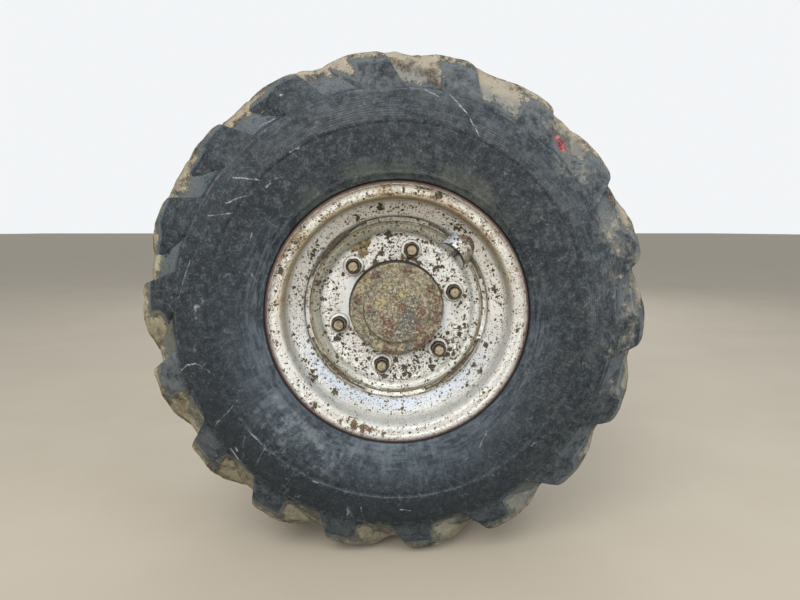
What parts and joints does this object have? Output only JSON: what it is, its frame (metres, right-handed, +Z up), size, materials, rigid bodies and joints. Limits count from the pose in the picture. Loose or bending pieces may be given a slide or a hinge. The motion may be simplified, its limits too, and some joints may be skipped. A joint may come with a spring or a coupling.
{
  "type": "site dumper wheel",
  "caption": "Lugged off-road tyre on a welded steel wheel, bolted to a planetary hub that turns on a flanged axle arm.",
  "frame": {"origin": "centre of the axle arm's inboard flange face, on the wheel's axis", "axes": "+Y along the axle towards the machine, so the wheel's outer face looks along -Y; +Z up; +X to the right as seen from outside"},
  "size_m": [1.096, 0.646, 1.096],
  "materials": {
    "tyre": "slate black rubber, scuffed and dusty",
    "rim_paint": "silver-white paint with chips and rust",
    "hub_casting": "casting caked with dry mud and rust",
    "fasteners": "rusty steel",
    "axle_paint": "dark grey paint, dusty",
    "machined_steel": "oiled machined steel",
    "seal_rubber": "black seal rubber"
  },
  "bodies": {
    "axle_end": {"axle_arm": "axle_paint", "spindle": "machined_steel", "hub_seal": "seal_rubber", "shaft_seal": "seal_rubber"},
    "wheel": {"tyre": "tyre", "rim": "rim_paint", "wheel_disc": "rim_paint", "disc_welds": "rim_paint", "valve_guard": "rim_paint", "valve_stem": "seal_rubber", "valve_cap": "seal_rubber", "seat_rings": "rim_paint", "wheel_nuts": "fasteners", "wheel_studs": "fasteners", "hub": "hub_casting", "hub_cover": "hub_casting", "cover_screws": "fasteners", "level_plug": "fasteners"},
    "half_shaft": {"half_shaft": "machined_steel"}
  },
  "joints": [
    {"name": "wheel_roll", "type": "hinge", "parent": "axle_end", "child": "wheel", "pos_m": [0, -0.379, 0], "axis": [0, 1, 0], "continuous": true},
    {"name": "shaft_spin", "type": "hinge", "parent": "axle_end", "child": "half_shaft", "pos_m": [0, -0.2, 0], "axis": [0, 1, 0], "continuous": true}
  ],
  "couplings": [
    {"joint": "shaft_spin", "follows": "wheel_roll", "ratio": 6}
  ]
}
